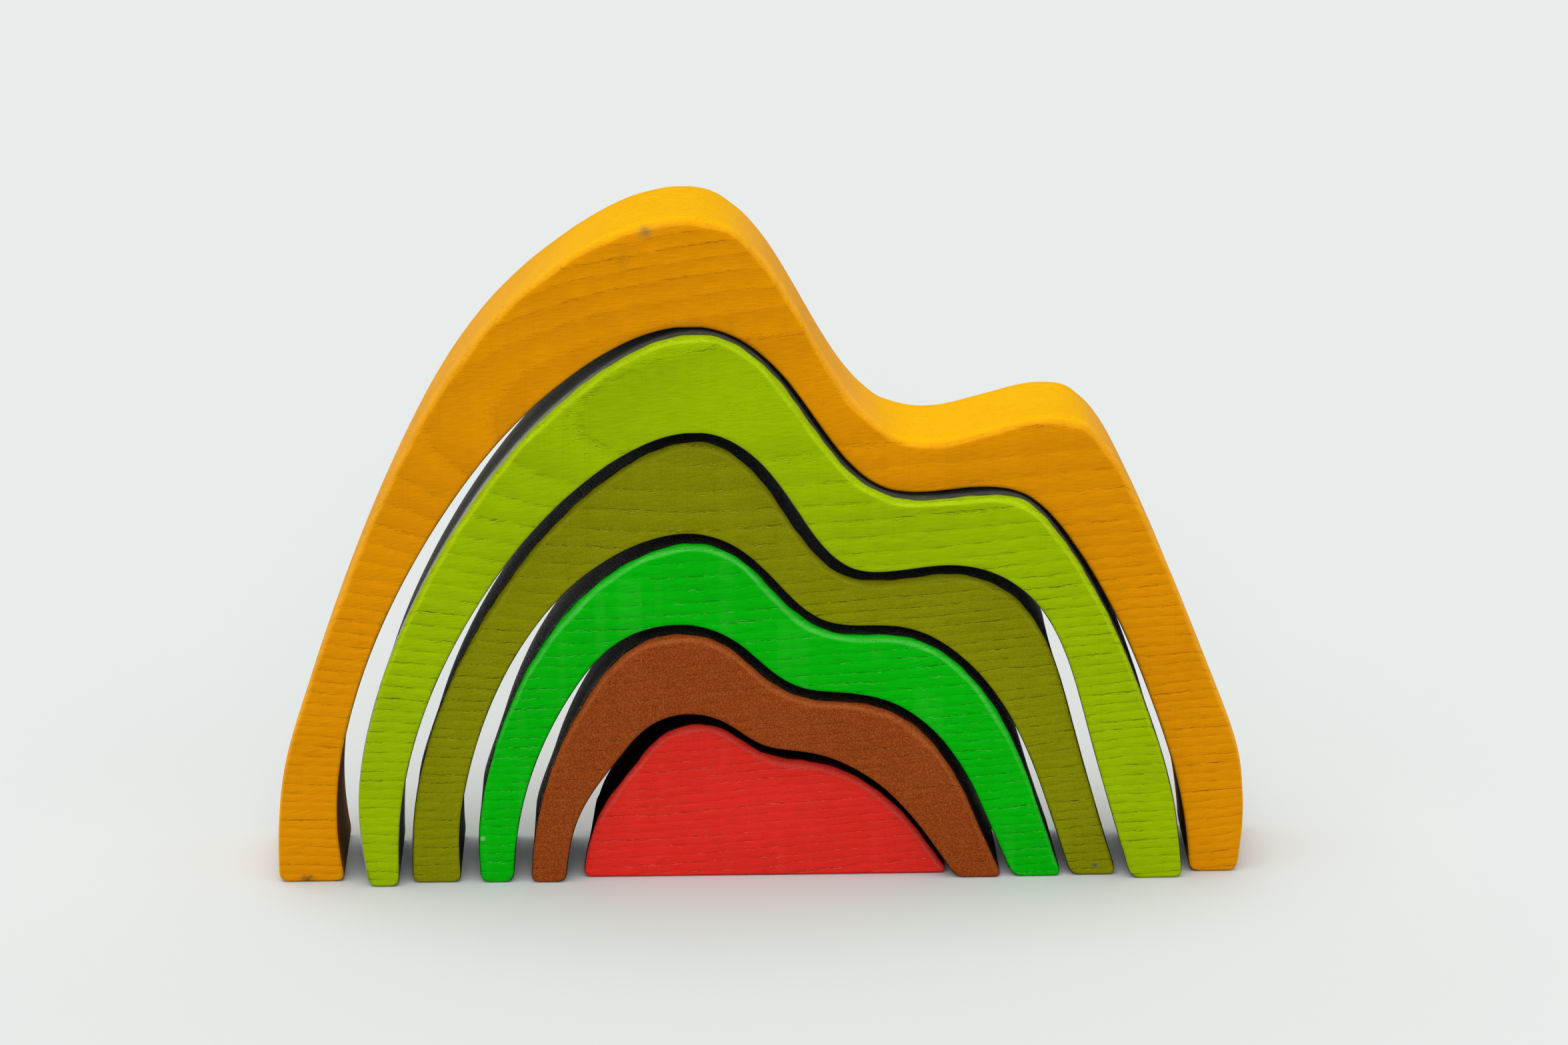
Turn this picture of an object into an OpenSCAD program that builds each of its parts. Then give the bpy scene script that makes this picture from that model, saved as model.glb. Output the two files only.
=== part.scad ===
// Mountain stacking block: five nested arches and a solid core, sawn from one wooden board.
// X runs along the board, Y through its thickness, Z up; the set stands on the plane z = 0.
// Five saw cuts follow the mountain outline inwards. Each cut is a smooth curve through
// thirteen landmarks, and every landmark lies on a straight line from the outline to one
// aim point on the board's lower edge. The walls are measured along those lines.

/* [Board] */
// Thickness of the board
board_t = 40; // [24:1:60]
// Radius of the sanded edges of both faces
edge_r = 1.5; // [0.5:0.25:2.5]
// Length along each side that the rounding of a foot's corner takes
foot_r = 3; // [3:0.5:5]
// Place along the board of the point that all walls are measured towards
aim_x = -25; // [-35:1:-15]

/* [Outline] */
// Left foot, place along the board
left_foot_x = -150.5; // [-156:0.5:-144]
// Left leg, place along the board
left_leg_x = -150; // [-155:0.5:-144]
// Left leg, height above the board's lower edge
left_leg_h = 30; // [26:1:36]
// Left flank, place along the board
left_flank_x = -140; // [-146:0.5:-134]
// Left flank, height
left_flank_h = 69; // [62:1:78]
// Left shoulder, place along the board
left_shoulder_x = -106.5; // [-112:0.5:-100]
// Left shoulder, height
left_shoulder_h = 150; // [142:1:158]
// Brow left of the peak, place along the board
brow_x = -73; // [-78:0.5:-66]
// Brow left of the peak, height
brow_h = 196; // [188:1:202]
// Right end of the peak, place along the board
peak_x = -11; // [-16:0.5:-7]
// Right end of the peak, height
peak_h = 218.5; // [210:0.5:228]
// Steep side of the peak, place along the board
steep_x = 10.5; // [5:0.5:15]
// Steep side of the peak, height
steep_h = 193; // [186:1:198]
// Saddle between the two hills, place along the board
saddle_x = 49; // [43:0.5:54]
// Saddle between the two hills, height
saddle_h = 149.5; // [142:0.5:156]
// Right end of the lower hill's top, place along the board
hill_x = 98; // [93:0.5:103]
// Right end of the lower hill's top, height
hill_h = 155; // [150:0.5:161]
// Right shoulder, place along the board
right_shoulder_x = 113; // [109:0.5:118]
// Right shoulder, height
right_shoulder_h = 135; // [130:1:140]
// Right flank, place along the board
right_flank_x = 139.5; // [136:0.5:146]
// Right flank, height
right_flank_h = 72; // [64:1:80]
// Right leg, place along the board
right_leg_x = 150.5; // [145:0.5:155]
// Right leg, height
right_leg_h = 35; // [30:1:42]
// Right foot, place along the board
right_foot_x = 148; // [142:0.5:154]

/* [Orange arch] */
// Wall at the left foot, leg and flank
orange_left_wall = [21.5, 18.5, 15]; // [12:0.5:28]
// Wall at the left shoulder, brow and peak
orange_peak_wall = [23.5, 32.5, 33]; // [18:0.5:40]
// Wall at the steep side, saddle and lower hill
orange_hill_wall = [21.5, 17.5, 28.5]; // [14:0.5:34]
// Wall at the right shoulder, flank, leg and foot
orange_right_wall = [24.5, 19.5, 19.5, 13]; // [11:0.5:29]
// Wood trimmed off the feet, which lets the arch down over the next one
orange_trim = 7; // [3:0.5:7]
// How far back the arch stands
orange_back = 2; // [-5:0.5:5]

/* [Lime arch] */
// Saw gap between the orange arch and this one
lime_gap = 5; // [4.8:0.1:6]
// Wall at the left foot, leg and flank
lime_left_wall = [9, 13, 16]; // [9:0.5:22]
// Wall at the left shoulder, brow and peak
lime_peak_wall = [22.5, 27.5, 31]; // [18:0.5:38]
// Wall at the steep side, saddle and lower hill
lime_hill_wall = [29, 26, 28]; // [20:0.5:34]
// Wall at the right shoulder, flank, leg and foot
lime_right_wall = [20.5, 19.5, 20, 15.5]; // [12:0.5:26]
// Wood trimmed off the feet
lime_trim = 3; // [3:0.5:6]
// How far to the right the arch lies in the nest
lime_right = 2; // [-1:0.5:2]
// How far back the arch stands
lime_back = -3; // [-5:0.5:5]

/* [Olive arch] */
// Saw gap between the lime arch and this one
olive_gap = 4; // [3:0.1:6]
// Wall at the left foot, leg and flank
olive_left_wall = [15.5, 15, 15.5]; // [11:0.5:20]
// Wall at the left shoulder, brow and peak
olive_peak_wall = [17.5, 22.5, 29.5]; // [14:0.5:36]
// Wall at the steep side, saddle and lower hill
olive_hill_wall = [25.5, 16, 23]; // [13:0.5:30]
// Wall at the right shoulder, flank, leg and foot
olive_right_wall = [25.5, 16.5, 14.5, 14.5]; // [11:0.5:30]
// Wood trimmed off the feet
olive_trim = 3; // [1.5:0.5:4.5]
// How far to the right the arch lies in the nest
olive_right = 2; // [1:0.5:3]
// How far back the arch stands
olive_back = 0; // [-5:0.5:5]

/* [Green arch] */
// Saw gap between the olive arch and this one
green_gap = 4.5; // [3:0.1:6]
// Wall at the left foot, leg and flank
green_left_wall = [10, 12, 14]; // [9:0.5:18]
// Wall at the left shoulder, brow and peak
green_peak_wall = [19, 21.5, 27]; // [15:0.5:33]
// Wall at the steep side, saddle and lower hill
green_hill_wall = [25.5, 20.5, 24.5]; // [16:0.5:30]
// Wall at the right shoulder, flank, leg and foot
green_right_wall = [23, 18, 16.5, 15.5]; // [12:0.5:28]
// Wood trimmed off the feet
green_trim = 1.5; // [1:0.5:3]
// How far to the right the arch lies in the nest
green_right = 3.5; // [2.5:0.5:4]
// How far back the arch stands
green_back = -0.5; // [-5:0.5:5]

/* [Brown arch] */
// Saw gap between the green arch and this one
brown_gap = 4.5; // [3:0.1:6]
// Wall at the left foot, leg and flank
brown_left_wall = [11, 11.5, 13.5]; // [9:0.5:17]
// Wall at the left shoulder, brow and peak
brown_peak_wall = [22.5, 26, 25.5]; // [18:0.5:30]
// Wall at the steep side, saddle and lower hill
brown_hill_wall = [23.5, 19, 21.5]; // [15:0.5:27]
// Wall at the right shoulder, flank, leg and foot
brown_right_wall = [23.5, 20.5, 17, 15]; // [12:0.5:27]
// Wood trimmed off the feet
brown_trim = 0; // [0:0.5:1.5]
// How far to the right the arch lies in the nest
brown_right = 4.5; // [3.5:0.5:5]
// How far back the arch stands
brown_back = -1; // [-5:0.5:5]

/* [Red core] */
// Saw gap between the brown arch and the core
red_gap = 2.5; // [2:0.1:4]
// Wood trimmed off the base
red_trim = 2.5; // [1.5:0.5:3]
// How far to the right the core lies in the nest
red_right = 7; // [6:0.5:7]
// How far back the core stands
red_back = 3; // [-5:0.5:5]

/* [Hidden] */

// Points along one long edge of a piece, at the rounding of a foot's corner and of a face's edge
edge_steps = 72;
foot_steps = 4;
round_steps = 3;

// Largest share of a narrow sole that the rounding of one corner may take
sole_share = 0.45;

// Landmarks of the outline from the left foot over both hills to the right foot
outline = [
    [left_foot_x, 0],
    [left_leg_x, left_leg_h],
    [left_flank_x, left_flank_h],
    [left_shoulder_x, left_shoulder_h],
    [brow_x, brow_h],
    [peak_x, peak_h],
    [steep_x, steep_h],
    [saddle_x, saddle_h],
    [hill_x, hill_h],
    [right_shoulder_x, right_shoulder_h],
    [right_flank_x, right_flank_h],
    [right_leg_x, right_leg_h],
    [right_foot_x, 0]
];
last = len(outline) - 1;

// How far each cut lies inside the outline at every landmark
orange_walls = concat(orange_left_wall, orange_peak_wall, orange_hill_wall, orange_right_wall);
lime_walls = concat(lime_left_wall, lime_peak_wall, lime_hill_wall, lime_right_wall);
olive_walls = concat(olive_left_wall, olive_peak_wall, olive_hill_wall, olive_right_wall);
green_walls = concat(green_left_wall, green_peak_wall, green_hill_wall, green_right_wall);
brown_walls = concat(brown_left_wall, brown_peak_wall, brown_hill_wall, brown_right_wall);
orange_reach = orange_walls;
lime_reach = deeper(orange_reach, lime_gap, lime_walls);
olive_reach = deeper(lime_reach, olive_gap, olive_walls);
green_reach = deeper(olive_reach, green_gap, green_walls);
brown_reach = deeper(green_reach, brown_gap, brown_walls);

// The outline and the five cuts as smooth curves
outline_curve = spline(outline);
orange_cut = spline(inside(orange_reach));
lime_cut = spline(inside(lime_reach));
olive_cut = spline(inside(olive_reach));
green_cut = spline(inside(green_reach));
brown_cut = spline(inside(brown_reach));

// Distances of the next cut: past the last cut, the saw gap and the next wall
function deeper(reach, gap, walls) = [for (i = [0:last]) reach[i] + gap + walls[i]];

// Landmarks moved from the outline towards the aim point
function inside(reach) = [
    for (i = [0:last])
        let (way = [aim_x, 0] - outline[i])
            outline[i] + way / norm(way) * reach[i]
];

// A natural cubic spline through points: the points, the chords and the bend at each point
function spline(points) =
    let (
        chords = [for (i = [0:len(points) - 2]) norm(points[i + 1] - points[i])],
        rows = eliminate(points, chords)
    )
    [points, chords, concat([[0, 0]], substitute(rows, len(rows) - 1), [[0, 0]])];

// Forward pass of the spline's three-term equations
function eliminate(p, h, i = 1, c = 0, d = [0, 0]) =
    i > len(p) - 2 ? [] :
    let (
        w = 2 * (h[i - 1] + h[i]) - h[i - 1] * c,
        turn = 6 * ((p[i + 1] - p[i]) / h[i] - (p[i] - p[i - 1]) / h[i - 1]),
        c_next = h[i] / w,
        d_next = (turn - h[i - 1] * d) / w
    )
    concat([[c_next, d_next]], eliminate(p, h, i + 1, c_next, d_next));

// Backward pass, which gives the bends from the first inner point to the last
function substitute(rows, i, after = [0, 0]) =
    i < 0 ? [] :
    let (bend = rows[i][1] - rows[i][0] * after)
    concat(substitute(rows, i - 1, bend), [bend]);

// Point of a curve at q landmarks from its left end, moved in by a gap square to the curve
function edge_point(curve, gap, q) =
    let (
        i = min(floor(q), last - 1),
        s = q - i,
        r = 1 - s,
        p = curve[0],
        h = curve[1][i],
        m = curve[2],
        place = r * p[i] + s * p[i + 1] + h * h / 6 * ((r ^ 3 - r) * m[i] + (s ^ 3 - s) * m[i + 1]),
        way = (p[i + 1] - p[i]) / h + h / 6 * ((1 - 3 * r ^ 2) * m[i] + (3 * s ^ 2 - 1) * m[i + 1])
    )
    place + gap * [way[1], -way[0]] / norm(way);

// Where a curve crosses a height, searched for by halving between a low and a high place
function crossing(curve, gap, height, low, high, turns = 24) =
    let (middle = (low + high) / 2)
    turns == 0 ? middle :
    edge_point(curve, gap, middle)[1] < height
        ? crossing(curve, gap, height, middle, high, turns - 1)
        : crossing(curve, gap, height, low, middle, turns - 1);

// The left and the right place at which an edge crosses a height
function ends(curve, gap, height) = [
    crossing(curve, gap, height, 0, 2),
    crossing(curve, gap, height, last, last - 2)
];

// Points of an edge between the roundings of its two feet. Every landmark's stretch gets as many
// as the next, so they lie close together where the outline bends and its landmarks crowd.
function long_edge(curve, gap, height) =
    let (q = ends(curve, gap, height))
    [
        for (k = [0:edge_steps])
            edge_point(curve, gap, q[0] + (q[1] - q[0]) * k / edge_steps)
    ];

// Rounding of a foot's corner from the leg to the sole, without its first point
function rounding(from, corner, to) = [
    for (k = [1:foot_steps])
        let (s = k / foot_steps)
            (1 - s) ^ 2 * from + 2 * s * (1 - s) * corner + s ^ 2 * to
];

function reversed(list) = [for (i = [len(list) - 1:-1:0]) list[i]];

// Sole of an arch's foot from its outer leg edge to its inner one
function sole(outer_top, outer_corner, inner_corner, inner_top) =
    let (
        way = (inner_corner - outer_corner) / norm(inner_corner - outer_corner),
        r = min(foot_r, sole_share * norm(inner_corner - outer_corner))
    )
    concat(
        rounding(outer_top, outer_corner, outer_corner + r * way),
        reversed(rounding(inner_top, inner_corner, inner_corner - r * way))
    );

// Closed outline of an arch: outer edge, right sole, inner edge, left sole
function arch_loop(outer, gap, inner, trim) =
    let (
        over = long_edge(outer, gap, trim + foot_r),
        under = long_edge(inner, 0, trim + foot_r),
        over_q = ends(outer, gap, trim),
        under_q = ends(inner, 0, trim),
        over_corners = [for (q = over_q) edge_point(outer, gap, q)],
        under_corners = [for (q = under_q) edge_point(inner, 0, q)]
    )
    concat(
        over,
        sole(over[edge_steps], over_corners[1], under_corners[1], under[edge_steps]),
        reversed(under),
        reversed(sole(over[0], over_corners[0], under_corners[0], under[0]))
    );

// Closed outline of the core: outer edge, then the base with a point at its middle
function core_loop(outer, gap, trim) =
    let (
        over = long_edge(outer, gap, trim + foot_r),
        corners = [for (q = ends(outer, gap, trim)) edge_point(outer, gap, q)],
        middle = (corners[0] + corners[1]) / 2
    )
    concat(
        over,
        rounding(over[edge_steps], corners[1], corners[1] - [foot_r, 0]),
        [middle],
        reversed(rounding(over[0], corners[0], corners[0] + [foot_r, 0]))
    );

// A closed outline drawn in by a distance, square to each of its sides
function inset(loop, distance) = [
    for (i = [0:len(loop) - 1])
        let (
            before = loop[i] - loop[(i + len(loop) - 1) % len(loop)],
            after = loop[(i + 1) % len(loop)] - loop[i],
            a = [before[1], -before[0]] / norm(before),
            b = [after[1], -after[0]] / norm(after)
        )
        loop[i] + distance * (a + b) / (1 + a * b)
];

// Triangles of an arch's face: a ladder between its two edges and a fan on each sole
function arch_face() =
    let (
        m = edge_steps,
        f = 2 * foot_steps,
        under = 2 * m + f + 1,
        total = 2 * m + 2 * f + 2
    )
    concat(
        [for (j = [0:m - 1]) [j, j + 1, under - j]],
        [for (j = [0:m - 1]) [under - j, j + 1, under - j - 1]],
        [for (k = [1:f]) [m, m + k, m + k + 1]],
        [for (k = [1:f]) [under, under + k, (under + k + 1) % total]]
    );

// Triangles of the core's face: a fan about the middle of its base
function core_face() =
    let (
        middle = edge_steps + foot_steps + 1,
        total = edge_steps + 2 * foot_steps + 2
    )
    [for (k = [1:total - 2]) [middle, (middle + k) % total, (middle + k + 1) % total]];

// A piece of the board: its outline through the thickness, drawn in round both faces
module piece(loop, face, trim, right, back) {
    n = len(loop);
    front_layers = [
        for (k = [0:round_steps])
            let (a = 90 * k / round_steps)
                [edge_r * (1 - sin(a)), edge_r * (1 - cos(a)) - board_t / 2]
    ];
    layers = concat(front_layers, [for (l = reversed(front_layers)) [l[0], -l[1]]]);
    top = len(layers) - 1;
    points = [
        for (l = layers, p = inset(loop, l[0]))
            [p[0] + right, l[1] + back, p[1] - trim]
    ];
    sides = [
        for (k = [0:top - 1], i = [0:n - 1])
            let (j = (i + 1) % n)
                each [
                    [k * n + i, (k + 1) * n + i, (k + 1) * n + j],
                    [k * n + i, (k + 1) * n + j, k * n + j]
                ]
    ];
    back_face = [for (t = face) [t[0] + top * n, t[2] + top * n, t[1] + top * n]];
    polyhedron(points, concat(face, sides, back_face));
}

module orange_arch() {
    color("#d98a08")
        piece(arch_loop(outline_curve, 0, orange_cut, orange_trim), arch_face(),
              orange_trim, 0, orange_back);
}

module lime_arch() {
    color("#8ca905")
        piece(arch_loop(orange_cut, lime_gap, lime_cut, lime_trim), arch_face(),
              lime_trim, lime_right, lime_back);
}

module olive_arch() {
    color("#767a07")
        piece(arch_loop(lime_cut, olive_gap, olive_cut, olive_trim), arch_face(),
              olive_trim, olive_right, olive_back);
}

module green_arch() {
    color("#0ba012")
        piece(arch_loop(olive_cut, green_gap, green_cut, green_trim), arch_face(),
              green_trim, green_right, green_back);
}

module brown_arch() {
    color("#853e14")
        piece(arch_loop(green_cut, brown_gap, brown_cut, brown_trim), arch_face(),
              brown_trim, brown_right, brown_back);
}

module red_core() {
    color("#ce2a22")
        piece(core_loop(brown_cut, red_gap, red_trim), core_face(),
              red_trim, red_right, red_back);
}

orange_arch();
lime_arch();
olive_arch();
green_arch();
brown_arch();
red_core();
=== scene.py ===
"""Mountain stacking block: six stained blocks of one wooden board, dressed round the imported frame."""

import math

import bpy
import numpy as np
from bpy.props import FloatProperty, FloatVectorProperty, IntProperty, PointerProperty
from mathutils import Matrix, Vector


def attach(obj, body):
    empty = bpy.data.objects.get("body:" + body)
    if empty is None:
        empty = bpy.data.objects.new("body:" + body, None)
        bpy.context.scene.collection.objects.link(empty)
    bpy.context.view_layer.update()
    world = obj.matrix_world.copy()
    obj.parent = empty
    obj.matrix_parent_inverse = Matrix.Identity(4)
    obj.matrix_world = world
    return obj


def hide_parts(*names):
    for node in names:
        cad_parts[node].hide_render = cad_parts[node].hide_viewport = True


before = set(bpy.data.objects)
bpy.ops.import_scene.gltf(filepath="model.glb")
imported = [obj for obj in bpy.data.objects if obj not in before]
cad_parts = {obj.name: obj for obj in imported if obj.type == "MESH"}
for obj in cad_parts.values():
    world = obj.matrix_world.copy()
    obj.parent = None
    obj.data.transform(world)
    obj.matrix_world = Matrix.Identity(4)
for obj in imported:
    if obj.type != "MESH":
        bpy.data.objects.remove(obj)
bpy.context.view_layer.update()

bl_info = {
    "name": "Mountain stacking block",
    "version": (1, 0, 0),
    "blender": (4, 5, 0),
    "location": "View3D > Sidebar > Mountain",
    "description": "Nested arches and a core, sawn from one board and stained",
    "category": "Object",
}

# Pixels across the picture that the lens is worked out for
PICTURE_WIDTH = 2352
# Focal length of the fitted view, in those pixels
FOCAL_PIXELS = 8109
SENSOR_MM = 36

# Points nearer than this, in metres, lie in one layer or on the floor
LAYER_GAP = 1e-5
# Share of a rung before its first point
RUNG_END = 0.04
# Heights in metres between which a leg grows out of its rounded foot, and the scorch starts
FOOT_TOP = (0.001, 0.012)
SCORCH_STARTS = (0.0005, 0.004)
# Wave lengths in metres of the rim's wander, the saw's drift, the scorch's end and the painted
# highlight on rims that face up
RIM_WAVES = (0.083, 0.041, 0.0177)
SAW_WAVES = (0.047, 0.029)
SCORCH_WAVES = (0.023, 0.0091)
HIGHLIGHT_WAVES = (0.031, 0.0123)
# How far the drift of the saw slants along the outline through the board, in metres
SAW_SLANT = 0.01
# How far up an edge faces, from 0 to 1, where its rim widens and where its lean starts and stops
RIM_WIDENS = (0.05, 0.6)
LEAN_STARTS = (0.08, 0.3)
LEAN_STOPS = (0.8, 0.98)
# Share of the lean that a sawn side loses on a flatter slope that faces right, and where that sets in
SQUARED = 0.8
FACES_RIGHT = (0.2, 0.6)
FLATTER = (0.2, 0.4)
# Scorch of the soles, and of the rims as a share of the side's
SOLE_SCORCH = 0.35
RIM_SCORCH = 0.8
# Turn of a rim, from 0 on a face to 1 on the side, that stays clean of scorch: on every edge, how
# much more on edges that face up, how far that wanders, and the turn over which the scorch sets in
CLEAN_RIM = 0.76
CLEAN_RIM_UP = 0.17
CLEAN_RIM_WANDER = 0.03
SCORCH_BLEND = 0.08
# How far up an edge faces where its burnt wood turns black, and what facing right adds to that; this is
# partly char and partly painted shade, as those sides lie in the dark gap under the block around them
CHAR_AND_SHADE_STARTS = (0.5, 0.95)
RIGHT_CHAR_AND_SHADE = 0.8
# Char of the inner sides, and what it is more on a block that was sawn outside too
INNER_CHAR = 0.45
SAWN_CHAR = 0.5

# Tones that multiply the stain: blotches, the late part of a ring, fibres and ring lines
BLOTCH_TONE = (0.72, 0.64, 0.6, 1)
RING_TONE = (0.6, 0.52, 0.46, 1)
FIBRE_TONE = (0.6, 0.54, 0.5, 1)
LINE_TONE = (0.36, 0.28, 0.24, 1)
# Tone of charred wood, which also paints the shade on sawn sides that face up or right, and the share
# of it where the char and that shade are full
CHAR_AND_SHADE_TONE = (0.005, 0.005, 0.004, 1)
CHAR_AND_SHADE_SHARE = 0.9
# Strength of the planer's pale bands and thin dark ticks
BAND_SHARE = 0.025
TICK_SHARE = 0.08
# Specular level of the faces, and the strength of the relief
FACE_GLOSS = 0.02
RELIEF_STRENGTH = 0.7
# Tint of the even light
SKY_TONE = (0.97, 1.0, 1.0, 1)


def from_screen(red, green, blue):
    """Linear colour of a colour given as it shows on a screen, from 0 to 255."""
    shown = np.array([red, green, blue]) / 255
    bent = ((shown + 0.055) / 1.055) ** 2.4
    return tuple(np.where(shown <= 0.04045, shown / 12.92, bent))


class BlockSettings(bpy.types.PropertyGroup):
    """How finely the blocks are meshed and how evenly they were sanded."""

    station_step: FloatProperty(
        name="Station step", description="Spacing of the points along an edge",
        default=0.001, min=0.0003, unit="LENGTH")
    face_rows: IntProperty(
        name="Face rows", description="Rows of faces between the outer and the inner edge",
        default=10, min=4)
    rim_rows: IntProperty(
        name="Rim rows", description="Rows of faces round a sanded edge", default=7, min=3)
    side_rows: IntProperty(
        name="Side rows", description="Rows of faces through the board's thickness",
        default=12, min=2)
    wide_rim: FloatProperty(
        name="Wide rim", description="Size of the sanded rim where the edge faces up, in rim radii",
        default=1.55, min=0.5, max=1.7)
    sharp_rim: FloatProperty(
        name="Sharp rim", description="Size of the rim of the other edges, in rim radii",
        default=0.5, min=0.1, max=1)
    bevel: FloatProperty(
        name="Bevel", description="Share of a flat bevel in the rim's rounding",
        default=0.7, min=0, max=1, subtype="FACTOR")
    rim_wander: FloatProperty(
        name="Rim wander", description="Share by which the sanded rim widens and narrows",
        default=0.2, min=0, max=0.5, subtype="FACTOR")
    saw_wander: FloatProperty(
        name="Saw wander", description="How far the saw drifted into the block",
        default=0.00025, min=0, max=0.0004, unit="LENGTH")
    lean: FloatProperty(
        name="Lean", description="How far sloping outer sides lean in towards the back",
        default=0.0018, min=0, max=0.002, unit="LENGTH")
    saw_lean: FloatProperty(
        name="Saw lean", description="How much more the sawn ones among them lean",
        default=0.0008, min=0, max=0.001, unit="LENGTH")


class GrainSettings(bpy.types.PropertyGroup):
    """Growth rings and pores of the board."""

    ring_width: FloatProperty(
        name="Ring width", description="Spacing of the growth rings",
        default=0.0025, min=0.0005, unit="LENGTH")
    pith_depth: FloatProperty(
        name="Pith depth", description="How far behind the board's middle the rings are centred",
        default=0.06, unit="LENGTH")
    pith_height: FloatProperty(
        name="Pith height", description="Height at which the rings are centred",
        default=0.158, unit="LENGTH")
    pith_place: FloatProperty(
        name="Pith place", description="Place along the board from which the pith bows away",
        default=0.0, unit="LENGTH")
    pith_bow: FloatProperty(
        name="Pith bow", description="How fast the pith bows away to the left, per metre",
        default=0.7)
    pith_rise: FloatProperty(
        name="Pith rise", description="How far the grain rises to the right, per length",
        default=0.09)
    pore_length: FloatProperty(
        name="Pore length", description="Length of the pores along the grain",
        default=0.0019, min=0.0005, unit="LENGTH")
    pore_width: FloatProperty(
        name="Pore width", description="Width of the pores across the grain",
        default=0.00024, min=0.00005, unit="LENGTH")
    pore_depth: FloatProperty(
        name="Pore depth", description="Depth of the pores and of the saw marks",
        default=0.00008, min=0, unit="LENGTH")


class StainSettings(bpy.types.PropertyGroup):
    """Stain of every block and the tone of the sawn sides."""

    orange: FloatVectorProperty(
        name="Orange", description="Stain of the outer arch", subtype="COLOR",
        default=from_screen(217, 140, 1), min=0, max=1)
    lime: FloatVectorProperty(
        name="Lime", description="Stain of the second arch", subtype="COLOR",
        default=from_screen(146, 177, 0), min=0, max=1)
    olive: FloatVectorProperty(
        name="Olive", description="Stain of the third arch", subtype="COLOR",
        default=from_screen(125, 129, 0), min=0, max=1)
    green: FloatVectorProperty(
        name="Green", description="Stain of the fourth arch", subtype="COLOR",
        default=from_screen(4, 177, 10), min=0, max=1)
    brown: FloatVectorProperty(
        name="Brown", description="Stain of the fifth arch", subtype="COLOR",
        default=from_screen(132, 55, 10), min=0, max=1)
    red: FloatVectorProperty(
        name="Red", description="Stain of the core", subtype="COLOR",
        default=from_screen(221, 42, 34), min=0, max=1)
    # Partly the sanded side's own stain and partly painted light: the crest is yellower as lit from
    # above, the flank paler with a painted sheen
    crest_stain_and_top_light: FloatVectorProperty(
        name="Crest", description="Stain on the outer arch's sanded side where it faces up",
        subtype="COLOR", default=from_screen(224, 165, 7), min=0, max=1)
    flank_stain_and_sheen: FloatVectorProperty(
        name="Flank", description="Stain on the outer arch's sanded side where it stands steep",
        subtype="COLOR", default=from_screen(227, 160, 44), min=0, max=1)


class StageSettings(bpy.types.PropertyGroup):
    """Floor, light and camera."""

    floor: FloatVectorProperty(
        name="Floor", description="Colour of the floor", subtype="COLOR",
        default=(0.570, 0.584, 0.576), min=0, max=1)
    backdrop: FloatVectorProperty(
        name="Backdrop", description="Colour seen past the floor", subtype="COLOR",
        default=from_screen(236, 240, 238), min=0, max=1)
    sky: FloatProperty(
        name="Sky", description="Strength of the even light from all round", default=0.67, min=0)
    sun: FloatProperty(
        name="Sun", description="Strength of the soft light from above", default=2.1, min=0)
    sun_tilt: FloatProperty(
        name="Sun tilt", description="Tilt of the light from above towards the front",
        default=math.radians(4), subtype="ANGLE")
    sun_turn: FloatProperty(
        name="Sun turn", description="Tilt of the light from above towards the left",
        default=math.radians(6), subtype="ANGLE")
    sun_spread: FloatProperty(
        name="Sun spread", description="Angle that the soft light covers in the sky",
        default=math.radians(60), subtype="ANGLE")
    fill: FloatProperty(
        name="Fill", description="Strength of the low light from the front", default=0.82, min=0)
    fill_height: FloatProperty(
        name="Fill height", description="Height of the light from the front as an angle",
        default=math.radians(25), subtype="ANGLE")
    fill_spread: FloatProperty(
        name="Fill spread", description="Angle that the light from the front covers",
        default=math.radians(30), subtype="ANGLE")
    azimuth: FloatProperty(
        name="Azimuth", description="Turn of the camera to the right of the front",
        default=math.radians(-1.0), subtype="ANGLE")
    elevation: FloatProperty(
        name="Elevation", description="Height of the camera as an angle",
        default=math.radians(18.5), subtype="ANGLE")
    roll: FloatProperty(
        name="Roll", description="Turn of the camera about its own axis",
        default=math.radians(-0.3), subtype="ANGLE")
    distance: FloatProperty(
        name="Distance", description="Distance of the camera from the point it looks at",
        default=1.6555, min=0.1, unit="LENGTH")
    aim: FloatVectorProperty(
        name="Aim", description="Point that the camera looks at", subtype="XYZ",
        default=(0.0077, -0.02, 0.1177), unit="LENGTH")


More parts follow.
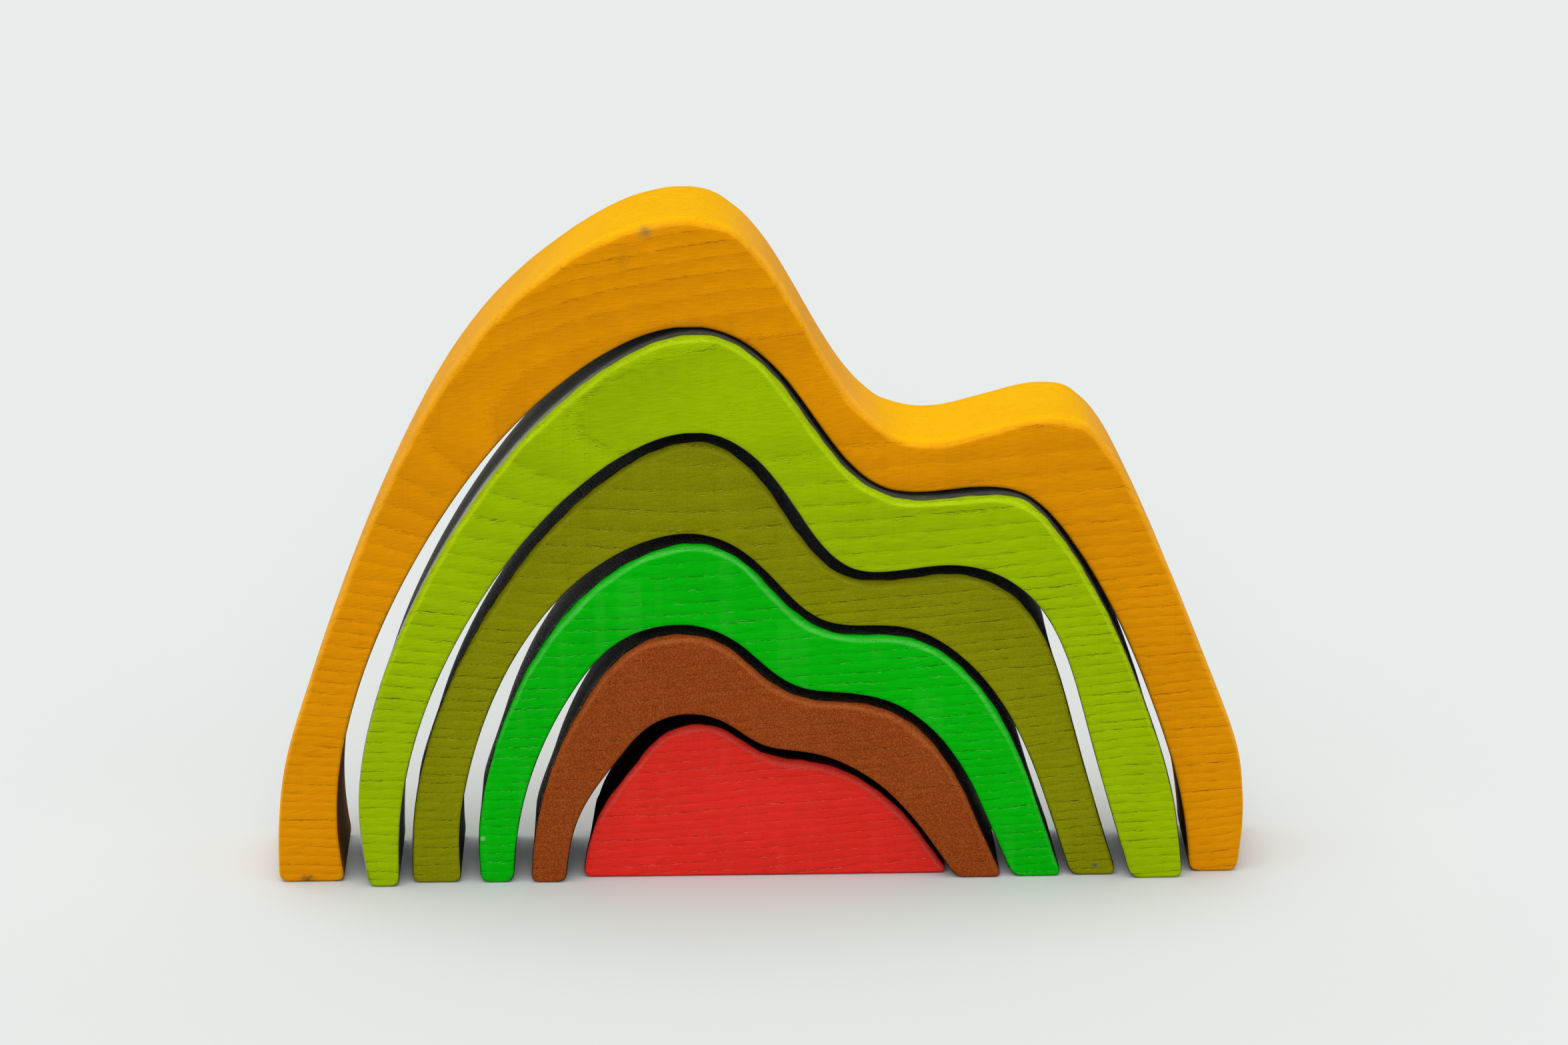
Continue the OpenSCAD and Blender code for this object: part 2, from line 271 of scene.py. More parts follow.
def cut_outline(node):
    """Edges of a sawn block: (outer edge, inner edge, front, back, rim radius), in metres.

    The block's wide cross-section is the layer of its mesh where the front rim ends. Each side
    triangle behind that layer has one edge in it, and those edges give every point's next one.
    The closed outline is then parted at the level stretches on the floor. The longest part is
    the outer edge; a solid block's inner edge is one point on its base.
    """
    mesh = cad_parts[node].data
    mesh.calc_loop_triangles()
    corners = np.zeros(len(mesh.vertices) * 3)
    mesh.vertices.foreach_get("co", corners)
    triangles = np.zeros(len(mesh.loop_triangles) * 3, int)
    mesh.loop_triangles.foreach_get("vertices", triangles)
    points, index = np.unique(corners.reshape(-1, 3).round(6), axis=0, return_inverse=True)
    triangles = index.reshape(-1)[triangles].reshape(-1, 3)

    levels = np.unique(points[:, 1].round(5))
    wide = levels[len(levels) // 2 - 1]
    in_layer = np.abs(points[:, 1] - wide) < LAYER_GAP
    depth = points[triangles, 1].max(axis=1)
    behind = (in_layer[triangles].sum(axis=1) == 2) & (depth > wide + LAYER_GAP)
    side = triangles[behind]
    off_layer = np.argmin(in_layer[side], axis=1)
    row = np.arange(len(side))
    following = np.zeros(len(points), int)
    following[side[row, (off_layer + 1) % 3]] = side[row, (off_layer + 2) % 3]
    order = walk(following, side[0, (off_layer[0] + 1) % 3], len(side))
    loop = points[order][:, [0, 2]]

    on_floor = loop[:, 1] < LAYER_GAP
    level = on_floor & np.roll(on_floor, -1)
    starts = np.flatnonzero(level) + 1
    loop = np.roll(loop, -starts[0], axis=0)
    parts = sorted(np.split(loop, starts[1:] - starts[0]), key=edge_length, reverse=True)
    edges = [part if part[0, 0] <= part[-1, 0] else part[::-1] for part in parts[:2]]
    return edges[0], edges[1], levels[0], levels[-1], wide - levels[0]


def walk(following, start, count):
    """Visits count points from start, where following gives each point's next one.

    The path doubles in each pass: the second half is the first half moved on by its own length.
    """
    path = np.array([start])
    jump = following
    while len(path) < count:
        path = np.concatenate([path, jump[path]])
        jump = jump[jump]
    return path[:count]


def edge_length(edge):
    """Length of a row of points."""
    return np.linalg.norm(np.diff(edge, axis=0), axis=1).sum()


def resample(edge, count):
    """The edge as count points spaced evenly along a smooth curve through its own points.

    Between two points the curve is a cubic whose end slopes are those of the parabola through
    each point and its two neighbours. It is held within the box of the points.
    """
    if len(edge) == 1:
        return np.repeat(edge, count, axis=0)
    step = np.linalg.norm(np.diff(edge, axis=0), axis=1)
    place = np.concatenate([[0], np.cumsum(step)])
    slope = np.gradient(edge, place, axis=0)
    wanted = np.linspace(0, place[-1], count)
    i = np.clip(np.searchsorted(place, wanted, side="right") - 1, 0, len(step) - 1)
    h = step[i][:, None]
    s = ((wanted - place[i]) / step[i])[:, None]
    r = 1 - s
    start = r ** 2 * ((1 + 2 * s) * edge[i] + h * s * slope[i])
    end = s ** 2 * ((1 + 2 * r) * edge[i + 1] - h * r * slope[i + 1])
    return np.clip(start + end, edge.min(axis=0), edge.max(axis=0))


def waves(place, *lengths):
    """Sum of sines of the given wave lengths along a place, scaled to lie within -1 and 1."""
    turns = [np.sin(math.tau * place / length + 5 * n) for n, length in enumerate(lengths)]
    return np.sum(turns, axis=0) / len(lengths)


def ease(value, low, high):
    """Rises smoothly from 0 at low to 1 at high."""
    t = np.clip((value - low) / (high - low), 0, 1)
    return t * t * (3 - 2 * t)


def grid_triangles(index):
    """Two triangles for every cell of a grid of vertex numbers, without those that shrank."""
    a, b = index[:-1, :-1], index[:-1, 1:]
    c, d = index[1:, 1:], index[1:, :-1]
    halves = [np.stack([a, b, c], axis=-1), np.stack([a, c, d], axis=-1)]
    triangles = np.concatenate([half.reshape(-1, 3) for half in halves])
    first, second, third = triangles.T
    return triangles[(first != second) & (second != third) & (third != first)]


class Outline:
    """A block's closed outline on the board, as points in metres along the board and up.

    It runs along the outer edge from left to right, in along the right sole, back along the inner
    edge and out along the left sole. A solid block's inner edge is one point between its soles.
    """

    def __init__(self, node, settings):
        outer, inner, self.front, self.back, self.radius = cut_outline(node)
        stations = int(edge_length(outer) / settings.station_step)
        outer = resample(outer, stations + 1)
        inner = resample(inner, stations + 1)
        self.rung = np.linspace(RUNG_END, 1 - RUNG_END, settings.face_rows - 1)
        right_sole = outer[-1] + self.rung[:, None] * (inner[-1] - outer[-1])
        left_sole = inner[0] + self.rung[:, None] * (outer[0] - inner[0])
        solid = np.ptp(inner, axis=0).max() == 0
        under = inner[:1] if solid else inner[::-1]
        self.points = np.concatenate([outer, right_sole, under, left_sole])
        self.count = len(self.points)

        # Numbers of the points: edges from left to right, soles from the outer to the inner edge
        sole = np.arange(len(self.rung))
        inner_order = np.zeros(stations + 1, int) if solid else np.arange(stations, -1, -1)
        self.outer_edge = np.arange(stations + 1)
        self.right_sole = stations + 1 + sole
        self.inner_edge = stations + 1 + len(sole) + inner_order
        self.left_sole = self.count - 1 - sole

        way = np.roll(self.points, -1, axis=0) - np.roll(self.points, 1, axis=0)
        way /= np.linalg.norm(way, axis=1, keepdims=True)
        self.normal = np.stack([-way[:, 1], way[:, 0]], axis=1)
        self.rightward, self.upward = np.clip(self.normal, 0, 1).T
        step = np.linalg.norm(np.diff(self.points, axis=0, append=self.points[:1]), axis=1)
        self.run = np.cumsum(step)
        self.legs = ease(self.points[:, 1], *FOOT_TOP)


def side_rows(outline, settings):
    """Inset, depth and turn of the rows round a block's side, from the front to the back face.

    A rim lies between a quarter circle and a flat bevel: at each share of the quarter turn its
    inset mixes one less the sine with one less the share, and its depth mixes one less the cosine
    with the share. The rim is widest where the outline faces up, and widens and narrows a little
    on the way round. Between the rims the inset is the drift of the saw. The turn is 0 on a face
    and 1 on the side.
    """
    wander = 1 + settings.rim_wander * outline.legs * waves(outline.run, *RIM_WAVES)
    widening = (settings.wide_rim - settings.sharp_rim) * ease(outline.upward, *RIM_WIDENS)
    rim = outline.radius * wander * (settings.sharp_rim + widening)
    share = np.linspace(0, 1, settings.rim_rows + 1)[:, None]
    turn = share * math.pi / 2
    rim_inset = rim * (1 - np.sin(turn) + settings.bevel * (np.sin(turn) - share))
    rim_depth = rim * (1 - np.cos(turn) + settings.bevel * (np.cos(turn) - 1 + share))

    through = np.linspace(0, 1, settings.side_rows + 1)[1:-1, None]
    drift = 0.5 + 0.35 * waves(outline.run + SAW_SLANT * through, *SAW_WAVES)
    drift = settings.saw_wander * outline.legs * drift * np.sin(math.pi * through) ** 0.5
    side_depth = rim + through * (outline.back - outline.front - 2 * rim)

    inset = np.concatenate([rim_inset, drift, rim_inset[::-1]])
    from_front = outline.front + np.concatenate([rim_depth, side_depth])
    depth = np.concatenate([from_front, outline.back - rim_depth[::-1]])
    on_side = np.concatenate([np.sin(turn), np.ones_like(through), np.sin(turn[::-1])])
    return inset, depth, on_side


def side_lean(outline, settings, outer_scorch, depth):
    """How far the points of a block's side lie in from square, along the board and up.

    Sloping outer sides lean in by a share of the way through the board. A sanded side turns about
    the middle of the board and its lean fades out at the feet. A sawn side leans from its front
    edge, less on flatter slopes that face right, and keeps the lean of its legs down to the floor:
    there it moves level, and the points of its soles follow by their share of the width.
    """
    edge = outline.outer_edge
    sloping = ease(outline.upward, *LEAN_STARTS) * (1 - ease(outline.upward, *LEAN_STOPS))
    sloping[len(edge):] = 0
    outwards = outline.normal
    if outer_scorch:
        flatter = ease(outline.upward, *FLATTER)
        sloping *= 1 - SQUARED * ease(outline.rightward, *FACES_RIGHT) * flatter
        first, last = np.flatnonzero(outline.legs[edge] == 1)[[0, -1]]
        sloping[:first] = sloping[first]
        sloping[last:len(edge)] = sloping[last]
        sloping[outline.right_sole] = sloping[last] * (1 - outline.rung)
        sloping[outline.left_sole] = sloping[first] * outline.rung[::-1]
        middle = outline.points[edge[[0, -1]], 0].mean()
        level = np.stack([np.sign(outline.points[:, 0] - middle), np.zeros(outline.count)], axis=1)
        outwards = np.where(outline.legs[:, None] < 1, level, outline.normal)
    else:
        sloping *= outline.legs
    through = (depth - outline.front) / (outline.back - outline.front)
    lean = settings.lean + settings.saw_lean * outer_scorch
    shift = lean * sloping * (through - 0.5 * (1 - outer_scorch))
    return shift[:, :, None] * outwards


def face_ladder(outline, strip, row, made):
    """The points inside one face, numbered from made, and the grid of numbers of the whole face.

    A face is a ladder of straight rungs from the outer to the inner edge of a row of the strip.
    The soles' points are its first and its last rung.
    """
    start = row * outline.count
    outer_row = strip[row, outline.outer_edge]
    inner_row = strip[row, outline.inner_edge]
    fill = outer_row[1:-1, None] + outline.rung[:, None] * (inner_row - outer_row)[1:-1, None]
    index = np.zeros((len(outer_row), len(outline.rung) + 2), int)
    index[:, 0] = start + outline.outer_edge
    index[:, -1] = start + outline.inner_edge
    index[0, 1:-1] = start + outline.left_sole
    index[-1, 1:-1] = start + outline.right_sole
    index[1:-1, 1:-1] = made + np.arange(fill.size // 3).reshape(fill.shape[:2])
    return fill.reshape(-1, 3), index


def side_values(outline, on_side, outer_scorch, inner_scorch):
    """Values that the wood reads on a block's side, by name, as rows of points.

    scorch is how burnt the saw left it, past the clean part of the rim; the value for char and painted
    shade is how black the burnt wood is, partly charring and partly painted shade where a side faces
    up or right into the gap under the block around it; the value for the painted highlight is a paler
    share on rims that face up; sanded is 1 on a sanded outer side; upward is how far up it faces; run
    is the way along the outline.
    """
    run, upward = outline.run, outline.upward
    edge = outline.outer_edge
    scorch = np.full(outline.count, SOLE_SCORCH)
    scorch[edge] = outer_scorch * ease(outline.points[edge, 1], *SCORCH_STARTS)
    scorch[outline.inner_edge] = inner_scorch
    clean = CLEAN_RIM + CLEAN_RIM_UP * ease(upward, 0.05, 0.5)
    clean = clean + CLEAN_RIM_WANDER * waves(run, *SCORCH_WAVES)
    on_rim = RIM_SCORCH * ease(on_side, clean, clean + SCORCH_BLEND)
    burnt = np.maximum(on_rim, on_side > 0.999)
    # Painted shade: burnt wood on sides that face up or right is drawn black, partly for charring and
    # partly for the shade in the gap under the block around it
    char_and_painted_shade = ease(upward + RIGHT_CHAR_AND_SHADE * outline.rightward, *CHAR_AND_SHADE_STARTS)
    char_and_painted_shade[outline.inner_edge] = INNER_CHAR + SAWN_CHAR * outer_scorch
    # Painted highlight on rims that face up, where light from above falls on the rounding
    highlight_share = ease(upward, 0.1, 0.6) * (0.8 + 0.2 * waves(run, *HIGHLIGHT_WAVES))
    sanded = np.zeros(outline.count)
    sanded[edge] = 1 - outer_scorch
    across = np.ones_like(on_side)
    return {
        "scorch": scorch * burnt,
        "char_and_painted_shade": char_and_painted_shade * across,
        "painted_highlight": highlight_share * ease(on_side, 0, 0.3) * (1 - ease(on_side, 0.45, 0.9)),
        "sanded": sanded * ease(on_side, 0.2, 1),
        "upward": upward * across,
        "run": run * across,
    }


def sawn_block(node, settings, outer_scorch, inner_scorch):
    """Vertices, triangles, number of triangles on the side, and values of a block.

    The side is the closed outline carried through the thickness in rows, each drawn in along the
    outline's normals by its inset and moved by its lean. A ladder of rungs closes either face.
    """
    outline = Outline(node, settings)
    inset, depth, on_side = side_rows(outline, settings)
    edge = outline.points - inset[:, :, None] * outline.normal
    edge -= side_lean(outline, settings, outer_scorch, depth)
    strip = np.stack([edge[:, :, 0], depth, np.maximum(edge[:, :, 1], 0)], axis=2)

    rows, count = depth.shape
    ring = np.arange(rows * count).reshape(rows, count)
    ring = np.concatenate([ring, ring[:, :1]], axis=1)
    first = settings.rim_rows
    last = rows - 1 - settings.rim_rows
    bands = (ring[first:last + 1], ring[:first + 1], ring[last:])
    triangles = [grid_triangles(band) for band in bands]
    points = [strip.reshape(-1, 3)]
    made = rows * count
    for row, facing in ((0, 1), (rows - 1, -1)):
        fill, index = face_ladder(outline, strip, row, made)
        triangles.append(grid_triangles(index)[:, ::facing])
        points.append(fill)
        made += len(fill)

    faces = np.zeros(made - rows * count)
    values = side_values(outline, on_side, outer_scorch, inner_scorch)
    values = {label: np.concatenate([value.ravel(), faces]) for label, value in values.items()}
    return np.concatenate(points), np.concatenate(triangles), len(triangles[0]), values


def mesh_object(name, points, triangles, sides=0, **values):
    """A smooth mesh object at the origin, with one number per vertex under each given name.

    The first triangles, as many as there are on its sides, take its second material.
    """
    mesh = bpy.data.meshes.new(name)
    mesh.vertices.add(len(points))
    mesh.vertices.foreach_set("co", points.astype(np.float32).ravel())
    mesh.loops.add(triangles.size)
    mesh.loops.foreach_set("vertex_index", triangles.astype(np.int32).ravel())
    mesh.polygons.add(len(triangles))
    mesh.polygons.foreach_set("loop_start", np.arange(0, triangles.size, 3, dtype=np.int32))
    material = (np.arange(len(triangles)) < sides).astype(np.int32)
    mesh.polygons.foreach_set("material_index", material)
    for label, value in values.items():
        layer = mesh.attributes.new(label, "FLOAT", "POINT")
        layer.data.foreach_set("value", value.astype(np.float32))
    mesh.update(calc_edges=True)
    mesh.validate()
    mesh.shade_smooth()
    made = bpy.data.objects.new(name, mesh)
    bpy.context.scene.collection.objects.link(made)
    return made


class Wiring:
    """Adds nodes to a tree and wires them; a value is a socket or a plain number or colour."""

    def __init__(self, tree):
        self.tree = tree

    def add(self, kind, *values, **settings):
        """A node with its settings made and its first inputs filled in order."""
        node = self.tree.nodes.new(kind)
        for key, value in settings.items():
            setattr(node, key, value)
        for socket, value in zip(node.inputs, values):
            self.fill(socket, value)
        return node

    def fill(self, socket, value):
        """Links a socket to another one, or sets its plain value; None leaves it alone."""
        if isinstance(value, bpy.types.NodeSocket):
            self.tree.links.new(value, socket)
        elif value is not None:
            socket.default_value = value

    def math(self, operation, *values, clamp=False):
        """Result of one arithmetic step."""
        return self.add("ShaderNodeMath", *values, operation=operation, use_clamp=clamp).outputs[0]

    def ramp(self, value, low, high, to_low=0.0, to_high=1.0):
        """A value carried smoothly from one range to another."""
        node = self.add("ShaderNodeMapRange", value, low, high, to_low, to_high,
                        interpolation_type="SMOOTHSTEP")
        return node.outputs[0]

    def noise(self, vector, scale=1.0, detail=2.0, roughness=0.5):
        """Even noise between 0 and 1 at a place."""
        node = self.add("ShaderNodeTexNoise")
        self.fill(node.inputs["Vector"], vector)
        self.fill(node.inputs["Scale"], scale)
        self.fill(node.inputs["Detail"], detail)
        self.fill(node.inputs["Roughness"], roughness)
        return node.outputs["Fac"]

    def stretched(self, vector, size):
        """A place measured in steps of the given size along each axis."""
        return self.add("ShaderNodeVectorMath", vector, size, operation="DIVIDE").outputs[0]

    def attribute(self, name):
        """A value kept on the mesh."""
        return self.add("ShaderNodeAttribute", attribute_name=name).outputs["Fac"]

    def shade(self, blend, factor, first, second):
        """Two colours mixed by a factor."""
        node = self.add("ShaderNodeMix", data_type="RGBA", blend_type=blend)
        for label, value in (("Factor_Float", factor), ("A_Color", first), ("B_Color", second)):
            self.fill(next(s for s in node.inputs if s.identifier == label), value)
        return next(s for s in node.outputs if s.identifier == "Result_Color")

    def group(self, tree, **values):
        """A placed node group with its inputs filled by name; words of a name are joined by _."""
        node = self.tree.nodes.new("ShaderNodeGroup")
        node.node_tree = tree
        for label, value in values.items():
            self.fill(node.inputs[label.replace("_", " ").capitalize()], value)
        return node


def new_group(name, inputs, outputs):
    """An empty shader node group with float inputs (name: default) and named outputs."""
    tree = bpy.data.node_groups.new(name, "ShaderNodeTree")
    for label, default in inputs.items():
        kind = "NodeSocketVector" if isinstance(default, tuple) else "NodeSocketFloat"
        tree.interface.new_socket(label, in_out="INPUT", socket_type=kind).default_value = default
    for label in outputs:
        tree.interface.new_socket(label, in_out="OUTPUT", socket_type="NodeSocketFloat")
    wiring = Wiring(tree)
    given = wiring.add("NodeGroupInput").outputs
    result = wiring.add("NodeGroupOutput").inputs
    return tree, wiring, given, result


def ring_group():
    """Growth rings: the distance from the pith line, bent by noise, counted in ring widths.

    Crowding is high where a ring starts and pores crowd, Line is the thin dark line there, and
    both are stronger in some rings and stretches than in others. The line is faint where the rings
    lie flat to the face. Tone darkens through a ring.
    """
    tree, w, given, result = new_group(
        "growth_rings",
        {"Ring width": 0.003, "Pith depth": 0.05, "Pith height": 0.16, "Pith place": 0.0,
         "Pith bow": 0.7, "Pith rise": 0.09, "Waviness": 0.007},
        ["Crowding", "Line", "Tone", "Bend"])
    place = w.add("ShaderNodeTexCoord").outputs["Object"]
    slow = w.noise(w.stretched(place, (0.085, 0.12, 0.045)), detail=1.5)
    quick = w.noise(w.stretched(place, (0.022, 0.03, 0.006)), detail=2)
    bend = w.math("MULTIPLY", w.math("SUBTRACT", slow, 0.5), given["Waviness"])
    ripple = w.math("MULTIPLY", w.math("SUBTRACT", quick, 0.5), given["Ring width"])
    bend = w.math("MULTIPLY_ADD", ripple, 0.6, bend)
    fine = w.noise(w.stretched(place, (0.0035, 0.006, 0.0012)), detail=2)
    torn = w.math("MULTIPLY", w.math("SUBTRACT", fine, 0.5), given["Ring width"])
    bend = w.math("MULTIPLY_ADD", torn, 0.3, bend)
    axes = w.add("ShaderNodeSeparateXYZ", place).outputs
    past = w.math("SUBTRACT", axes["X"], given["Pith place"])
    bend = w.math("SUBTRACT", bend, w.math("MULTIPLY", past, given["Pith rise"]))
    aside = w.math("POWER", w.math("MINIMUM", past, 0.0), 2)
    behind = w.math("SUBTRACT", given["Pith depth"], axes["Y"])
    deep = w.math("MULTIPLY_ADD", aside, given["Pith bow"], behind)
    high = w.math("SUBTRACT", w.math("ADD", axes["Z"], bend), given["Pith height"])
    distance = w.math("SQRT", w.math("ADD", w.math("POWER", deep, 2), w.math("POWER", high, 2)))
    rings = w.math("DIVIDE", distance, given["Ring width"])
    part = w.math("FRACT", rings)
    chance = w.add("ShaderNodeTexWhiteNoise", None, w.math("FLOOR", rings), noise_dimensions="1D")
    stretch = w.noise(w.stretched(place, (0.012, 0.03, 0.002)), detail=2)
    strong = w.math("MULTIPLY", w.ramp(chance.outputs["Value"], 0, 1, 0.5, 1),
                    w.ramp(stretch, 0.36, 0.56, 0.25, 1))
    w.fill(result["Crowding"], w.math("MULTIPLY", w.ramp(part, 0, 0.5, 1, 0), strong))
    upright = w.math("DIVIDE", w.math("ABSOLUTE", high), distance)
    crisp = w.math("MULTIPLY", w.ramp(part, 0, 0.15, 1, 0), w.ramp(upright, 0.25, 0.8, 0.35, 1))
    w.fill(result["Line"], w.math("MULTIPLY", crisp, strong))
    w.fill(result["Tone"], w.ramp(part, 0.15, 1))
    w.fill(result["Bend"], bend)
    return tree


def pore_group():
    """Open pores: noise drawn out along the grain and cut at a level that the crowding lowers.

    Lip is what the same pores leave uncovered when they are moved down by part of their width: the
    lower edge of each pore, where the wood takes a painted highlight as if light from above caught it.
    """
    tree, w, given, result = new_group(
        "open_pores",
        {"Length": 0.0045, "Width": 0.0003, "Crowding": 1.0, "Bend": 0.0},
        ["Pore", "Lip", "Fibre"])
    axes = w.add("ShaderNodeSeparateXYZ", w.add("ShaderNodeTexCoord").outputs["Object"]).outputs
    along = w.math("DIVIDE", axes["X"], given["Length"])
    across = w.math("DIVIDE", w.math("ADD", axes["Z"], given["Bend"]), given["Width"])
    through = w.math("DIVIDE", axes["Y"], w.math("MULTIPLY", given["Width"], 2.5))
    place = w.add("ShaderNodeCombineXYZ", along, through, across).outputs[0]
    lower = w.add("ShaderNodeVectorMath", place, (0, 0, 0.55), operation="ADD").outputs[0]
    level = w.math("MULTIPLY_ADD", given["Crowding"], -0.25, 0.72)
    full = w.math("ADD", level, 0.13)
    pore = w.ramp(w.noise(place, 1.0, 1.0), level, full)
    moved = w.ramp(w.noise(lower, 1.0, 1.0), level, full)
    w.fill(result["Pore"], pore)
    w.fill(result["Lip"], w.math("SUBTRACT", moved, pore, clamp=True))
    w.fill(result["Fibre"], w.noise(w.stretched(place, (3.0, 2.0, 1.2)), 1.0, 3.0))
    return tree


def saw_group():
    """Saw marks on the cut sides: noise drawn out along the cut, leaning a little across it.

    Cut fibre ends, a noise drawn out a little along the grain, break the strokes up.
    """
    tree, w, given, result = new_group(
        "saw_marks", {"Scorch": 1.0, "Stroke": 0.0003, "Lean": 0.16}, ["Burn", "Streak"])
    run = w.attribute("run")
    place = w.add("ShaderNodeTexCoord").outputs["Object"]
    depth = w.add("ShaderNodeSeparateXYZ", place).outputs["Y"]
    leaning = w.math("MULTIPLY_ADD", run, given["Lean"], depth)
    along = w.math("DIVIDE", run, w.math("MULTIPLY", given["Stroke"], 26))
    across = w.math("DIVIDE", leaning, given["Stroke"])
    stroke = w.add("ShaderNodeCombineXYZ", along, across).outputs[0]
    patches = w.noise(w.stretched(place, (0.02, 0.02, 0.02)), 1.0, 2.0)
    burn = w.ramp(given["Scorch"], 0.0, 0.8)
    w.fill(result["Burn"], w.math("MULTIPLY", burn, w.ramp(patches, 0.25, 0.5, 0.88, 1)))
    fibres = w.noise(w.stretched(place, (0.0008, 0.0005, 0.00025)), 1.0, 2.0, 0.6)
    streak = w.math("MULTIPLY_ADD", fibres, 1.2, w.noise(stroke, 1.0, 3.0, 0.6))
    streak = w.math("ADD", streak, w.ramp(patches, 0.35, 0.65, -0.06, 0.06))
    flat = w.ramp(given["Scorch"], 0.85, 0.95)
    w.fill(result["Streak"], w.math("MULTIPLY", w.ramp(streak, 1.02, 1.4), flat))
    return tree


def sanding_group():
    """Uneven stain: slow blotches, what the planer left in patches, and fine specks.

    Bands are pale and upright where a stretched noise is high, Ticks are thin dark lines where it
    crosses one level.
    """
    tree, w, given, result = new_group(
        "sanding", {"Band": 0.0042, "Speck": 0.00032}, ["Blotch", "Bands", "Ticks", "Specks"])
    place = w.add("ShaderNodeTexCoord").outputs["Object"]
    axes = w.add("ShaderNodeSeparateXYZ", place).outputs
    w.fill(result["Blotch"], w.noise(w.stretched(place, (0.035, 0.035, 0.02)), 1.0, 3.0))
    across = w.math("DIVIDE", axes["X"], given["Band"])
    upright = w.math("DIVIDE", axes["Z"], w.math("MULTIPLY", given["Band"], 40))
    bands = w.noise(w.add("ShaderNodeCombineXYZ", across, 0.0, upright).outputs[0], 1.0, 0.0)
    patches = w.ramp(w.noise(w.stretched(place, (0.03, 0.05, 0.022)), 1.0, 1.0), 0.42, 0.6)
    w.fill(result["Bands"], w.math("MULTIPLY", w.ramp(bands, 0.52, 0.72), patches))
    crossing = w.math("ABSOLUTE", w.math("SUBTRACT", bands, 0.46))
    w.fill(result["Ticks"], w.math("MULTIPLY", w.ramp(crossing, 0, 0.022, 1, 0), patches))
    fine = w.noise(place, w.math("DIVIDE", 1, given["Speck"]), 2.0, 0.7)
    w.fill(result["Specks"], w.ramp(fine, 0.44, 0.7))
    return tree


def mark_group():
    """A mark of use: the distance from its centre in shares of its size, made ragged by noise."""
    tree, w, given, result = new_group(
        "use_mark", {"Centre": (0.0, 0.0, 0.0), "Size": (0.005, 0.005, 0.005)}, ["Mark"])
    place = w.add("ShaderNodeTexCoord").outputs["Object"]
    offset = w.add("ShaderNodeVectorMath", place, given["Centre"], operation="SUBTRACT").outputs[0]
    share = w.stretched(offset, given["Size"])
    away = w.add("ShaderNodeVectorMath", share, operation="LENGTH").outputs["Value"]
    ragged = w.math("SUBTRACT", w.noise(w.stretched(place, (0.0012, 0.001, 0.0008)), 1.0, 3.0), 0.5)
    w.fill(result["Mark"], w.ramp(w.math("MULTIPLY_ADD", ragged, 1.2, away), 0.0, 1.0, 1, 0))
    return tree


class Finish:
    """How one block took its stain, and what use and the saw left on it.

    Tones are colours as they show on a screen; the other values are shares from 0 to 1.
    """

    def __init__(self, stain, pore_tone, lip_tone, pores=0.55, lips=0.4, lines=1.2, specks=0.0,
                 rims=0.4, outer_scorch=1.0, inner_scorch=1.0, burnt_tone=(19, 19, 17),
                 streak_tone=(165, 165, 157), side_gloss=0.02, marks=()):
        self.stain = stain
        self.pore_tone = (*from_screen(*pore_tone), 1)
        self.lip_tone = (*from_screen(*lip_tone), 1)
        # lips and rims are the strengths of painted highlights, on each pore's lower lip and on rims
        # that face up
        self.pores = pores
        self.lips = lips
        self.lines = lines
        self.specks = specks
        self.rims = rims
        self.outer_scorch = outer_scorch
        self.inner_scorch = inner_scorch
        self.burnt_tone = (*from_screen(*burnt_tone), 1)
        self.streak_tone = (*from_screen(*streak_tone), 1)
        self.side_gloss = side_gloss
        self.marks = marks


class Mark:
    """A stain or dent that use left on a face: its centre and size in metres, tone and strength."""

    def __init__(self, centre, size, tone, strength):
        self.centre = centre
        self.size = size
        self.tone = (*from_screen(*tone), 1)
        self.strength = strength


